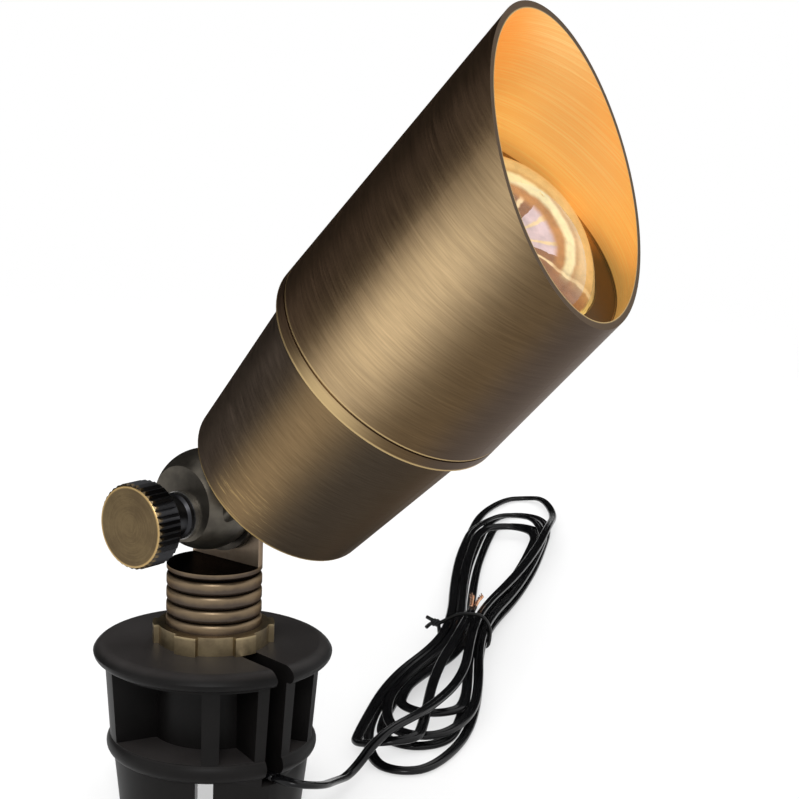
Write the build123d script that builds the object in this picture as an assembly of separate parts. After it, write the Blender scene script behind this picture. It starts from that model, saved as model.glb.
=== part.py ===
from build123d import *
import math
import os

import numpy

# Outdoor spotlight on a ground stake. Millimetres, +Z up, ground at height 0, stake axis on Z.
# The head tilts in the XZ plane and aims towards +X; the thumbscrew is on the -Y side.

# Ground stake
stake_flange_dia = 58.4
stake_flange_thickness = 4.2
stake_flange_top = 41.5
stake_rim_round = 3.2
stake_flange_overhang = 2.8
stake_barrel_draw = 1.45
stake_ring_proud = 0.85
stake_ring_height = 4.7
stake_ring_middle = 15.9
stake_leg_step = 0.95
stake_leg_wall = 7.0
stake_depth = 170.0
stake_tip_dia = 6.0
stake_hollow_depth = 95.0
stake_core_wall = 4.0
stake_slot_width = 4.8
stake_slot_azimuth = -10.5
stake_slot_foot = 11.2
stake_split_width = 4.4
stake_split_offset = -1.5
stake_split_turn = -36.5
stake_split_depth = 85.0
window_sill = 0.2
window_lintel = 0.8
window_places = ((22.0, 20.0), (72.0, 61.0), (145.0, 50.0))

# Lower knuckle: stem, ledge and tongue
stem_dia = 23.3
stem_spigot_dia = 20.9
stem_foot = 21.5
ridge_count = 5
ridge_depth = 1.0
ridge_shoulder = 0.28
collar_height = 2.0
ledge_drop = 14.0
tongue_radius = 11.0
tongue_thickness = 6.4
wire_way_dia = 4.4
wire_elbow_drop = 8.0
wire_top_drop = 5.5

# Locknut on the stem
nut_dia = 27.2
nut_lug_dia = 29.7
nut_height = 4.6
nut_lug_width = 5.7
nut_lug_count = 6
nut_lug_azimuth = -14.3

# Tilt pivot and upper knuckle
pivot_height = 75.0
head_tilt = 44.0
knuckle_dia = 22.0
knuckle_nose_reach = 11.7
knuckle_ball_dia = 24.6
knuckle_ball_side = 3.5
knuckle_ball_rise = 2.6
knuckle_face_reach = 3.0
knuckle_rim = 2.0
knuckle_arm_width = 17.0
knuckle_arm_reach = 9.0
knuckle_flange_dia = 25.0
knuckle_flange_thickness = 3.2
spigot_dia = 12.0
spigot_length = 7.0
spigot_side = -1.0
spigot_nut_flats = 15.0
spigot_nut_height = 3.5
seal_inner_dia = 16.0
seal_outer_dia = 20.0
seal_thickness = 1.2
friction_washer_dia = 21.4
friction_washer_hole = 17.6
friction_washer_thickness = 0.6
wire_groove_hub_dia = 9.2
wire_groove_depth = 5.0
head_wire_way_dia = 4.0
head_wire_flare = 2.4

# Thumbscrew
screw_dia = 6.0
screw_washer_dia = 11.6
screw_washer_thickness = 1.0
neck_dia = 10.0
neck_length = 8.7
neck_lip = 0.6
knob_dia = 20.2
knob_thickness = 7.1
knob_edge = 0.6
knurl_count = 40
knurl_depth = 0.55

# Head: stations run along its axis from the body's base
axis_offset = 8.3
base_reach = 22.4
base_dia = 46.8
base_edge = 0.6
sleeve_dia = 54.6
body_wall = 2.6
body_floor = 3.0
sleeve_wall = 1.8
ring_station = 44.7
seat_station = 82.0
oring_station = 49.0
oring_section = 1.8

# Hood
shroud_dia = 60.0
hood_wall = 1.4
shoulder_hole_dia = 46.6
shoulder_thickness = 2.0
cut_station = 108.65
cut_angle = 29.3
cut_turn = 17.5
band_height = 3.0
band_groove = 0.5
band_groove_depth = 0.3

# Lens and gasket
lens_flange_dia = 54.0
lens_flange_thickness = 2.75
lens_dome_dia = 45.8
lens_dome_rise = 11.8
gasket_thickness = 1.2
gasket_inner_dia = 51.2

# Lamp and its holder
holder_dia = 17.6
holder_height = 10.0
pin_spacing = 5.33
pin_dia = 1.5
pin_length = 7.0
contact_dia = 3.2
bracket_width = 11.0
bracket_span = 28.0
bracket_foot = 5.0
bracket_metal = 1.0
bracket_height = 17.5
bracket_screw_dia = 2.5
bracket_screw_bite = 2.2
screw_head_dia = 5.0
screw_head_height = 1.6
lamp_dia = 50.0
lamp_base_dia = 17.2
lamp_base_height = 13.0
lamp_neck_dia = 22.0
lamp_bezel_height = 7.0
lamp_bezel_wall = 4.4
lamp_fin_count = 20
lamp_fin_gap = 3.4
lamp_core_neck_dia = 16.0
lamp_core_front_dia = 42.0
board_dia = 30.0
board_thickness = 1.6
chip_count = 3
chip_size = 3.0
chip_height = 1.0
chip_circle = 8.5
optic_thickness = 1.8
optic_mouth_dia = 14.0
optic_throat_dia = 8.0
optic_recess = 0.7
socket_wire_dia = 1.4
socket_wire_spacing = 1.8

# Lead, its hank and the tie
cord_dia = 2.4
cord_exit_height = 14.0
cord_exit_radius = 26.0
cord_sag = 0.8
cord_stand_off = 6.0
lead_bends = ((33.0, 3.5, 11.5), (27.0, 15.0, 7.5))
lead_low_point = (-122.0, -13.6, 4.2)
lead_climb = (-108.0, -8.5)
lead_crossing = (-86.0, 1.5)
lead_lobe = 9.4
lead_waist = 3.6
lead_split = 0.38
grommet_dia = 6.0
grommet_length = 4.0
hank_centre = (-25.2, 140.4)
hank_azimuth = 119.2
hank_near = 108.0
hank_far = 172.0
upper_near = 90.0
upper_far = 158.0
tail_near = 104.0
loose_loop_far = 200.0
loose_loop_half_width = 15.0
hank_fold = 7.2
fold_radius = 8.0
fold_taper = 4.0
fold_step = 18.0
hank_pitch = 3.4
waist_pitch = 3.0
waist_half_length = 14.0
layer_step = 3.1
near_lobe_place = 0.44
near_lobe_fullness = 0.9
near_lobe_shift = -3.0
far_lobe_places = (0.3, 0.5, 0.66)
far_lobe_fullness = (0.55, 0.9, 1.0)
tail_fold = 3.4
tail_lobe = 0.0
tail_waist = -0.2
tail_end = 0.6
tail_length = 14.0
tie_dia = 1.4
tie_clearance = 0.4
tie_knot_dia = 4.0
copper_dia = 0.9
copper_length = 8.0
copper_spacing = 1.3

# Clearances
running = 0.05
thread = 0.06
seat_gap = 0.1
loose = 0.3

# Places that follow from the sizes above
ledge_height = pivot_height - ledge_drop
stem_wire_foot = ledge_height - 1.5 * wire_elbow_drop
tongue_face = knuckle_face_reach + friction_washer_thickness + running
tongue_middle = tongue_face + tongue_thickness / 2
tongue_back = tongue_face + tongue_thickness
socket_radius = stem_spigot_dia / 2 + running
stake_barrel_top_dia = stake_flange_dia - 2 * stake_flange_overhang
stake_barrel_foot_dia = stake_barrel_top_dia - 2 * stake_barrel_draw
stake_ring_dia = stake_barrel_foot_dia + 2 * stake_ring_proud
stake_leg_top_dia = stake_barrel_foot_dia - 2 * stake_leg_step
ring_foot = stake_ring_middle - stake_ring_height / 2
ring_top = stake_ring_middle + stake_ring_height / 2
flange_under = stake_flange_top - stake_flange_thickness
lens_station = seat_station + gasket_thickness
shoulder_station = lens_station + lens_flange_thickness + running
collar_bore = sleeve_dia / 2 + thread
bracket_station = body_floor + bracket_height - bracket_metal
holder_station = bracket_station + bracket_metal
lamp_station = holder_station + holder_height + seat_gap
bezel_station = seat_station - lamp_bezel_height
slot_direction = Vector(1, 0, 0).rotate(Axis.Z, stake_slot_azimuth)
cord_radius = cord_dia / 2
tie_lift = tie_dia + tie_clearance


def spun(start, *steps):
    # Turns a closed outline of (radius, height) points about Z. A step of one point is a line,
    # and a step of two is an arc through the first to the second.
    edges = []
    here = start
    for step in (*steps, [start]):
        points = [(radius, 0, height) for radius, height in (here, *step)]
        edges.append(Line(*points) if len(points) == 2 else ThreePointArc(*points))
        here = step[-1]
    return revolve(make_face(edges), Axis.Z)


def ring(outer_dia, inner_dia, low, high):
    outer, inner = outer_dia / 2, inner_dia / 2
    return spun((inner, low), [(outer, low)], [(outer, high)], [(inner, high)])


def rod(diameter, low, high):
    return Pos(0, 0, (low + high) / 2) * Cylinder(diameter / 2, high - low)


def block(x, y, z):
    # A box from its (low, high) spans along the three axes.
    middle = [(low + high) / 2 for low, high in (x, y, z)]
    return Pos(*middle) * Box(*[high - low for low, high in (x, y, z)])


def around(count, piece, start=0.0):
    return [Rot(0, 0, start + 360 * step / count) * piece for step in range(count)]


def on_pivot(piece):
    # Pieces modelled upright about the pivot, with +Z up, go to the pivot at the resting tilt.
    return Pos(0, 0, pivot_height) * Rot(0, head_tilt, 0) * piece


def on_pin(piece):
    # Pieces modelled along +Z turn to lie along the pivot, with +Z towards the thumbscrew.
    return on_pivot(Rot(90, 0, 0) * piece)


def on_axis(piece):
    # Pieces modelled along the head's axis from the body's base go to the tilted head.
    return on_pivot(Pos(axis_offset, 0, base_reach) * piece)


def bend_radii(points):
    # The largest even arcs that the runs of a cord's route leave room for.
    radii = []
    for before, here, after in zip(points, points[1:], points[2:]):
        run_in, run_out = Vector(*here) - Vector(*before), Vector(*after) - Vector(*here)
        half_turn = math.radians(run_in.get_angle(run_out)) / 2
        radii.append(0.45 * min(run_in.length, run_out.length) / math.tan(half_turn))
    return radii


def tube(name, points, diameter):
    # A round tube on straight runs and tangent arcs, with its volume and bends printed.
    radii = bend_radii(points)
    path = FilletPolyline(*points, radius=radii)
    solid = sweep(Plane(origin=path @ 0, z_dir=path % 0) * Circle(diameter / 2), path=path)
    share = solid.volume / (math.pi * diameter ** 2 / 4 * path.length)
    print(f"{name}: {path.length:.1f} mm long, volume {share:.4f} of section times length")
    print(f"  bend radii {', '.join(f'{radius:.1f}' for radius in radii[:12])} ... least {min(radii):.1f}")
    return solid, path


def least_gap(path, diameter):
    # Least clear distance between stretches of one tube that aren't neighbours along it.
    count = int(path.length / diameter * 1.5)
    places = numpy.linspace(0, 1, count)
    points = numpy.array([tuple(path.position_at(place)) for place in places])
    apart = 6 * diameter / path.length
    least = math.inf
    for place, point in zip(places, points):
        others = points[numpy.abs(places - place) > apart]
        least = min(least, numpy.linalg.norm(others - point, axis=1).min())
    return least - diameter


def ground_stake():
    flange, barrel_top = stake_flange_dia / 2, stake_barrel_top_dia / 2
    barrel_foot, leg_top, tip = stake_barrel_foot_dia / 2, stake_leg_top_dia / 2, stake_tip_dia / 2
    rim = stake_flange_thickness / 2
    body = spun(
        (0, stake_flange_top),
        [(flange - stake_rim_round, stake_flange_top)],
        [(flange - 0.4 * stake_rim_round, stake_flange_top - 0.29 * rim), (flange, stake_flange_top - rim)],
        [(flange - 0.29 * rim, flange_under + 0.29 * rim), (flange - rim, flange_under)],
        [(barrel_top, flange_under)],
        [(barrel_foot, ring_top)],
        [(stake_ring_dia / 2, stake_ring_middle), (leg_top, ring_foot)],
        [(tip, -stake_depth)],
        [(0, -stake_depth)],
    )
    taper = (leg_top - tip) / (ring_foot + stake_depth)
    hollow_foot = leg_top - taper * (ring_foot + stake_hollow_depth) - stake_leg_wall
    hollow = spun(
        (0, ring_foot),
        [(leg_top - stake_leg_wall, ring_foot)],
        [(hollow_foot, -stake_hollow_depth)],
        [(0, -stake_hollow_depth)],
    )
    above = stake_flange_top + stake_flange_thickness
    socket = rod(2 * socket_radius, ring_foot, above)
    half_slot = stake_slot_width / 2
    slot = block((0, stake_flange_dia), (-half_slot, half_slot), (stake_slot_foot, above))
    half_split = stake_split_width / 2
    split_along = (-stake_flange_dia, stake_flange_dia)
    split_across = (stake_split_offset - half_split, stake_split_offset + half_split)
    split_cut = block(split_along, split_across, (-stake_split_depth, ring_foot))
    body -= [hollow, socket, slot, Rot(0, 0, stake_split_turn) * split_cut]
    return Rot(0, 0, stake_slot_azimuth) * (body - stake_windows())


def stake_windows():
    # Pockets between the ribs, mirrored about the slot, down to the tube around the socket.
    inner = socket_radius + stake_core_wall
    low, high = ring_top + window_sill, flange_under - window_lintel
    outline = Polyline(
        (inner, 0, low), (stake_flange_dia, 0, low), (stake_flange_dia, 0, high), (inner, 0, high), close=True
    )
    pockets = []
    for place, width in window_places:
        pocket = revolve(make_face(outline), Axis.Z, revolution_arc=width)
        pockets.append(Rot(0, 0, place - width / 2) * pocket)
        pockets.append(Rot(0, 0, -place - width / 2) * pocket)
    return pockets


def knuckle_stem():
    outer, spigot = stem_dia / 2, stem_spigot_dia / 2
    root = outer - ridge_depth
    foot = stake_flange_top + seat_gap
    pitch = (ledge_height - collar_height - foot) / ridge_count
    ridges = []
    for step in range(ridge_count):
        low, high = foot + step * pitch, foot + (step + 1) * pitch
        shoulder = ridge_shoulder * pitch
        brow = outer - 0.25 * ridge_depth
        ridges.append([(brow, low + 0.36 * shoulder), (outer, low + shoulder)])
        ridges.append([(outer, high - shoulder)])
        ridges.append([(brow, high - 0.36 * shoulder), (root, high)])
    stem = spun(
        (0, stem_foot),
        [(spigot, stem_foot)],
        [(spigot, foot)],
        [(root, foot)],
        *ridges,
        [(outer, ledge_height - collar_height / 2)],
        [(outer, ledge_height)],
        [(0, ledge_height)],
    )
    tongue = block(
        (-tongue_radius, tongue_radius), (tongue_face, tongue_back), (ledge_height, pivot_height)
    )
    tongue += Pos(0, tongue_middle, pivot_height) * Rot(90, 0, 0) * Cylinder(tongue_radius, tongue_thickness)
    tongue &= rod(stem_dia, ledge_height, pivot_height + tongue_radius)
    wire_way = rod(wire_way_dia, stem_foot, stem_wire_foot)
    tongue_way = tube("tongue wire way", stem_wire_route(), wire_way_dia)[0]
    grommet_seat = rod(grommet_dia, stem_foot, stem_foot + grommet_length)
    screw_hole = Pos(0, 0, pivot_height) * Rot(90, 0, 0) * Cylinder(screw_dia / 2 + thread, stem_dia)
    return stem + tongue - [wire_way, tongue_way, grommet_seat, screw_hole]


def stem_wire_route():
    # From the stem's axis over into the tongue, and up to just below the thumbscrew.
    elbow = stem_wire_foot + wire_elbow_drop / 2
    return [
        (0, 0, stem_wire_foot),
        (0, 0, elbow),
        (0, tongue_middle, elbow + wire_elbow_drop),
        (0, tongue_middle, pivot_height - wire_top_drop),
    ]


def stem_wire():
    return tube("stem wire", stem_wire_route(), cord_dia)[0]


def locknut():
    low, high = stake_flange_top, stake_flange_top + nut_height
    body = rod(nut_dia, low, high)
    half = nut_lug_width / 2
    lug = block((0, nut_lug_dia / 2), (-half, half), (low, high)) & rod(nut_lug_dia, low, high)
    body += around(nut_lug_count, lug, nut_lug_azimuth)
    return body - rod(stem_dia + 2 * thread, low, high)


def stem_grommet():
    return ring(grommet_dia, cord_dia + 2 * running, stem_foot, stem_foot + grommet_length)


def head_knuckle():
    face, nose = -knuckle_face_reach, knuckle_nose_reach
    disc = rod(knuckle_dia, face, face + knuckle_rim)
    # The ball is flat where the washers seat, and its middle is above the pivot at the resting tilt.
    reach = knuckle_ball_dia / 2
    back, front = [math.sqrt(reach ** 2 - (knuckle_ball_side - place) ** 2) for place in (face, nose)]
    ball = spun((0, face), [(back, face)], [(reach, knuckle_ball_side), (front, nose)], [(0, nose)])
    ball = Rot(0, -head_tilt, 0) * Pos(0, 0, knuckle_ball_rise) * Rot(90, 0, 0) * ball
    groove = ring(friction_washer_hole - 2 * running, wire_groove_hub_dia, face, face + wire_groove_depth)
    hole = rod(screw_dia + 2 * running, face, nose)
    half_arm = knuckle_arm_width / 2
    arm_top = base_reach - knuckle_flange_thickness
    arm = block((-half_arm, half_arm), (-knuckle_arm_reach, -face), (0, arm_top))
    arm = fillet(arm.edges().filter_by(Axis.Z), knuckle_rim)
    seat = Pos(0, spigot_side, 0)
    flange = seat * rod(knuckle_flange_dia, arm_top, base_reach)
    spigot = seat * rod(spigot_dia, base_reach, base_reach + spigot_length)
    seal_groove = seat * ring(seal_outer_dia, seal_inner_dia, base_reach - seal_thickness, base_reach)
    top = base_reach + spigot_length
    wire_way = seat * rod(head_wire_way_dia, screw_dia, top)
    way = head_wire_way_dia / 2
    flare_foot = top - head_wire_flare
    flare = seat * spun((0, flare_foot), [(way, flare_foot)], [(way + head_wire_flare / 2, top)], [(0, top)])
    turn = Rot(90, 0, 0)
    knuckle = turn * disc + ball + arm + flange + spigot
    return on_pivot(knuckle - [turn * groove, turn * hole, seal_groove, wire_way, flare])


def friction_washer():
    low = -knuckle_face_reach - friction_washer_thickness
    return on_pin(ring(friction_washer_dia, friction_washer_hole, low, -knuckle_face_reach))


def screw_washer():
    low = knuckle_nose_reach
    return on_pin(ring(screw_washer_dia, screw_dia + 2 * thread, low, low + screw_washer_thickness))


def thumbscrew():
    shoulder = knuckle_nose_reach + screw_washer_thickness
    knob_low = shoulder + neck_length
    knob_high = knob_low + knob_thickness
    neck, lip = neck_dia / 2, neck_dia / 2 + neck_lip
    shank = spun(
        (0, -tongue_back),
        [(screw_dia / 2, -tongue_back)],
        [(screw_dia / 2, shoulder)],
        [(lip, shoulder)],
        [(lip, shoulder + 2 * neck_lip)],
        [(neck, shoulder + 3 * neck_lip)],
        [(neck, knob_low)],
        [(0, knob_low)],
    )
    outer, root = knob_dia / 2, knob_dia / 2 - knurl_depth
    teeth = []
    for step in range(2 * knurl_count):
        angle = math.pi * step / knurl_count
        radius = root if step % 2 else outer
        teeth.append((radius * math.cos(angle), radius * math.sin(angle)))
    knurl = Pos(0, 0, knob_low) * extrude(make_face(Polyline(*teeth, close=True)), knob_thickness)
    rounding = spun(
        (0, knob_low),
        [(outer - knob_edge, knob_low)],
        [(outer, knob_low + knob_edge)],
        [(outer, knob_high - knob_edge)],
        [(outer - knob_edge, knob_high)],
        [(0, knob_high)],
    )
    return on_pin(shank + (knurl & rounding))


def spigot_place(piece):
    # Pieces around the knuckle's spigot, modelled from the body's base.
    return on_axis(Pos(-axis_offset, spigot_side, 0) * piece)


def spigot_nut():
    hexagon = RegularPolygon(spigot_nut_flats / 2, 6, major_radius=False)
    nut = Pos(0, 0, body_floor) * extrude(hexagon, spigot_nut_height)
    bore = rod(spigot_dia + 2 * thread, body_floor, body_floor + spigot_nut_height)
    return spigot_place(nut - bore)


def spigot_seal():
    return spigot_place(ring(seal_outer_dia - loose, seal_inner_dia + loose, -seal_thickness, 0))


def screw_places():
    return [Pos(0, side * (bracket_span + bracket_foot) / 2, 0) for side in (-1, 1)]


def body_housing():
    base, sleeve = base_dia / 2, sleeve_dia / 2
    inside = sleeve - sleeve_wall
    shell = spun(
        (0, 0),
        [(base - base_edge, 0)],
        [(base, base_edge)],
        [(sleeve, ring_station)],
        [(sleeve, seat_station)],
        [(inside, seat_station)],
        [(inside, ring_station)],
        [(base - body_wall, body_floor)],
        [(0, body_floor)],
    )
    half = oring_section / 2 + running
    groove_floor = sleeve_dia - 2 * oring_section + 2 * loose
    groove = ring(shroud_dia, groove_floor, oring_station - half, oring_station + half)
    spigot_hole = Pos(-axis_offset, spigot_side, 0) * rod(spigot_dia + 2 * running, 0, body_floor)
    bite = rod(bracket_screw_dia, body_floor - bracket_screw_bite - seat_gap, body_floor)
    return on_axis(shell - [groove, spigot_hole, *[place * bite for place in screw_places()]])


def body_oring():
    section = oring_section / 2 - loose / 2
    middle = sleeve_dia / 2 - section + thread / 2
    return on_axis(Pos(0, 0, oring_station) * Torus(middle, section))


def shroud():
    outer = shroud_dia / 2
    bore, hole = outer - hood_wall, shoulder_hole_dia / 2
    shoulder_front = shoulder_station + shoulder_thickness
    reach = cut_station + shroud_dia
    tube_body = spun(
        (collar_bore, ring_station),
        [(outer, ring_station)],
        [(outer, reach)],
        [(bore, reach)],
        [(bore, shoulder_front)],
        [(hole, shoulder_front)],
        [(hole, shoulder_station)],
        [(collar_bore, shoulder_station)],
    )
    groove_low = ring_station + band_height
    groove_floor = shroud_dia - 2 * band_groove_depth
    tube_body -= ring(shroud_dia + 1, groove_floor, groove_low, groove_low + band_groove)
    slope, turn = math.tan(math.radians(cut_angle)), math.radians(cut_turn)
    mouth = Plane((0, 0, cut_station), z_dir=(slope * math.cos(turn), slope * math.sin(turn), 1))
    return on_axis(split(tube_body, mouth, keep=Keep.BOTTOM))


def lens():
    flange, dome = lens_flange_dia / 2, lens_dome_dia / 2
    flange_front = lens_station + lens_flange_thickness
    front = shoulder_station + shoulder_thickness
    dome_radius = (dome ** 2 + lens_dome_rise ** 2) / (2 * lens_dome_rise)
    half_angle = math.asin(dome / dome_radius) / 2
    crown = front + lens_dome_rise
    midway = (dome_radius * math.sin(half_angle), crown - dome_radius * (1 - math.cos(half_angle)))
    glass = spun(
        (0, lens_station),
        [(flange, lens_station)],
        [(flange, flange_front)],
        [(dome, flange_front)],
        [(dome, front)],
        [midway, (0, crown)],
    )
    return on_axis(glass)


def lens_gasket():
    return on_axis(ring(lens_flange_dia, gasket_inner_dia, seat_station, lens_station))


def pin_places():
    return [Pos(0, side * pin_spacing / 2, 0) for side in (-1, 1)]


def holder_bracket():
    half_width, half_span = bracket_width / 2, bracket_span / 2
    across = (-half_width, half_width)
    strip = block(across, (-half_span, half_span), (bracket_station, holder_station))
    for side in (-1, 1):
        leg = sorted((side * half_span, side * (half_span - bracket_metal)))
        foot = sorted((side * (half_span - bracket_metal), side * (half_span + bracket_foot)))
        strip += block(across, leg, (body_floor, bracket_station))
        strip += block(across, foot, (body_floor, body_floor + bracket_metal))
    wire_hole = rod(socket_wire_dia + 2 * loose, bracket_station, holder_station)
    screw_hole = rod(bracket_screw_dia + loose, body_floor, body_floor + bracket_metal)
    strip -= [place * wire_hole for place in pin_places()]
    strip -= [place * screw_hole for place in screw_places()]
    return on_axis(strip)


def holder_screws():
    seat = body_floor + bracket_metal
    screw = rod(bracket_screw_dia - 2 * running, body_floor - bracket_screw_bite, seat)
    screw += rod(screw_head_dia, seat, seat + screw_head_height)
    return on_axis(Compound([place * screw for place in screw_places()]))


def lamp_holder():
    top = holder_station + holder_height
    way = rod(contact_dia + 2 * running, holder_station, top)
    return on_axis(rod(holder_dia, holder_station, top) - [place * way for place in pin_places()])


def holder_contacts():
    low, high = holder_station + bracket_metal, holder_station + holder_height
    sleeve = ring(contact_dia, pin_dia + 2 * running, low, high)
    return on_axis(Compound([place * sleeve for place in pin_places()]))


def lamp_pins():
    pin = rod(pin_dia, lamp_station - pin_length, lamp_station)
    return on_axis(Compound([place * pin for place in pin_places()]))


def lamp_base():
    high = lamp_station + lamp_base_height
    cap = spun(
        (0, lamp_station),
        [(lamp_base_dia / 2, lamp_station)],
        [(lamp_neck_dia / 2, high)],
        [(0, high)],
    )
    return on_axis(cap)


def lamp_heatsink():
    low, high = lamp_station + lamp_base_height, bezel_station
    neck, front = lamp_neck_dia / 2, lamp_dia / 2 - running
    hip = (0.45 * neck + 0.55 * front, low + 0.4 * (high - low))
    sink = spun((0, low), [(neck, low)], [hip, (front, high)], [(0, high)])
    core_neck, core_front = lamp_core_neck_dia / 2, lamp_core_front_dia / 2
    core = spun((0, low), [(core_neck, low)], [(core_front, high)], [(0, high)])
    half = lamp_fin_gap / 2
    gap = block((0, lamp_dia), (-half, half), (low, high - bracket_metal))
    fins = sink - around(lamp_fin_count, gap - rod(lamp_core_neck_dia, low, high))
    return on_axis(fins + core)


def led_board():
    high = bezel_station + board_thickness
    board = rod(board_dia, bezel_station, high)
    half = chip_size / 2
    span = (chip_circle - half, chip_circle + half)
    chip = block(span, (-half, half), (high, high + chip_height))
    return on_axis(board + around(chip_count, chip))


def lamp_bezel():
    return on_axis(ring(lamp_dia, lamp_dia - 2 * lamp_bezel_wall, bezel_station, seat_station))


def lamp_optic():
    front = seat_station - optic_recess
    back = front - optic_thickness
    throat = bezel_station + board_thickness + chip_height + seat_gap
    plate = rod(lamp_dia - 2 * lamp_bezel_wall - 2 * running, back, front)
    cup = spun(
        (0, throat), [(optic_throat_dia / 2, throat)], [(optic_mouth_dia / 2, back)], [(0, back)]
    )
    return on_axis(plate + around(chip_count, Pos(chip_circle, 0, 0) * cup))


def socket_leads():
    # Two wires from the holder, under its bracket, down into the knuckle's wire way.
    level = spigot_length + socket_wire_dia
    wires = []
    for side in (-1, 1):
        pin = side * pin_spacing / 2
        way = spigot_side + side * socket_wire_spacing / 2
        route = [
            (0, pin, holder_station),
            (0, pin, level),
            (-axis_offset, way, level),
            (-axis_offset, way, -knuckle_flange_thickness),
        ]
        wires.append(tube("socket lead", route, socket_wire_dia)[0])
    return on_axis(Compound(wires))


def cable_in_stem():
    # The lead's held stretch: down the stem's axis, then out along the stake's slot.
    bend = slot_direction * (cord_exit_radius / 2)
    mouth = slot_direction * cord_exit_radius
    route = [
        (0, 0, stem_wire_foot),
        (0, 0, cord_exit_height - cord_sag),
        (bend.X, bend.Y, cord_exit_height - cord_sag),
        (mouth.X, mouth.Y, cord_exit_height),
    ]
    return tube("cable in stem", route, cord_dia)[0]


def hank_point(along, across, height):
    # Along the hank from its tie, across it to the right, and up from the ground.
    angle = math.radians(hank_azimuth)
    x = hank_centre[0] + along * math.cos(angle) + across * math.sin(angle)
    y = hank_centre[1] + along * math.sin(angle) - across * math.cos(angle)
    return (x, y, height)


def layer_height(layer):
    return cord_radius + layer * layer_step


def lead_route():
    # The free stretch, from the slot to where the cord has crossed the hank's near end.
    mouth = slot_direction * cord_exit_radius
    clear = slot_direction * (cord_exit_radius + cord_stand_off)
    rise = cord_sag * cord_stand_off / (cord_exit_radius / 2)
    top = layer_height(3) + loose
    crossing, lobe = hank_point(*lead_crossing, top), top_strand()[0]
    split_place = [low + lead_split * (high - low) for low, high in zip(crossing, lobe)]
    return [
        (mouth.X, mouth.Y, cord_exit_height),
        (clear.X, clear.Y, cord_exit_height + rise),
        *lead_bends,
        hank_point(*lead_low_point),
        hank_point(*lead_climb, top),
        crossing,
        tuple(split_place),
    ]


def fold(end, across_in, across_out, layers):
    # A half turn at one end of the hank, to which a wider lobe draws in from both sides.
    shift = near_lobe_shift if end < 0 else 0
    across_in, across_out = across_in + shift, across_out + shift
    middle, way = (across_in + across_out) / 2, math.copysign(1, end)
    half = math.copysign(fold_radius, across_in - across_out)
    centre = end - way * fold_radius
    side = centre + way * fold_radius * math.tan(math.pi / 6)
    tip = centre + way * fold_radius / math.cos(math.pi / 6)
    start = side - way * max(fold_taper * (abs(across_in - middle) - fold_radius), fold_radius)
    alongs = (start, side, tip, side, start)
    acrosses = (across_in, middle + half, middle, middle - half, across_out)
    heights = [layer_height(layer) for layer in (layers[0], *layers, layers[2])]
    return [hank_point(*place) for place in zip(alongs, acrosses, heights)]


def strand(near_lobe, waist, far_lobe, layers, far=hank_far):
    # One run from the near end: a lobe, a straight waist in the tie and the three points of a lobe.
    near_layer, waist_layer, far_layer = [layer_height(layer) for layer in layers]
    near_across = waist + near_lobe_fullness * (near_lobe - waist) + near_lobe_shift
    points = [
        hank_point(-near_lobe_place * hank_near, near_across, near_layer),
        hank_point(-waist_half_length, waist, waist_layer + tie_lift),
        hank_point(waist_half_length, waist, waist_layer + tie_lift),
    ]
    for place, fullness in zip(far_lobe_places, far_lobe_fullness):
        points.append(hank_point(place * far, waist + fullness * (far_lobe - waist), far_layer))
    return points


def top_strand():
    # The lead's own run on top of the hank, out to the loose loop.
    return strand(lead_lobe, lead_waist, loose_loop_half_width, (2, 2, 2), loose_loop_far)


def hank_route():
    # One unbroken cord: a loose top loop, two loops in on the ground, and two shorter ones out on top.
    inner, middle, outer = [hank_fold + step * hank_pitch for step in range(3)]
    wide = loose_loop_half_width
    flat, upper, top = (0, 0, 0), (1, 1, 1), (2, 2, 2)
    points = lead_route()[-1:] + top_strand()
    points += fold(loose_loop_far, wide, -wide, (0.5, 0, 0))
    points += reversed(strand(-outer, -2 * waist_pitch, -wide, flat, loose_loop_far))
    points += fold(-hank_near, -outer, outer, flat)
    points += strand(outer, 2 * waist_pitch, outer, flat)
    points += fold(hank_far, outer, -middle, flat)
    points += reversed(strand(-middle, -waist_pitch, -middle, flat))
    points += fold(fold_step - hank_near, -middle, middle, flat)
    points += strand(middle, waist_pitch, middle, flat)
    points += fold(hank_far - fold_step, middle, -inner, flat)
    points += reversed(strand(-inner, 0, -inner, (1, 0, 0)))
    points += fold(fold_step - upper_near, -inner, middle, upper)
    points += strand(middle, waist_pitch, middle, upper)
    points += fold(upper_far - fold_step, middle, -middle, upper)
    points += reversed(strand(-middle, -waist_pitch, -middle, upper))
    points += fold(-upper_near, -middle, outer, upper)
    points += strand(outer, 2 * waist_pitch, outer, upper)
    points += fold(upper_far, outer, -outer, upper)
    points += reversed(strand(-outer, -2 * waist_pitch, -outer, upper))
    points += fold(-tail_near, -outer, tail_fold, (1, 2, 2))
    points += strand(tail_lobe, tail_waist, inner, top)[:2]
    points.append(hank_point(tail_length, tail_end, layer_height(2) + tie_lift))
    return points


def lead():
    return tube("lead", lead_route(), cord_dia)[0]


def lead_hank():
    solid, path = tube("hank", hank_route(), cord_dia)
    print(f"  least gap of the hank to itself {least_gap(path, cord_dia):.2f} mm")
    return solid


def copper_tips():
    # The two stripped conductors, straight on from the cord's end.
    before, end = [Vector(*point) for point in hank_route()[-2:]]
    along = Plane(origin=end, z_dir=end - before)
    tips = [Pos(side * copper_spacing / 2, 0, 0) * rod(copper_dia, 0, copper_length) for side in (-1, 1)]
    return along * Compound(tips)


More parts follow.
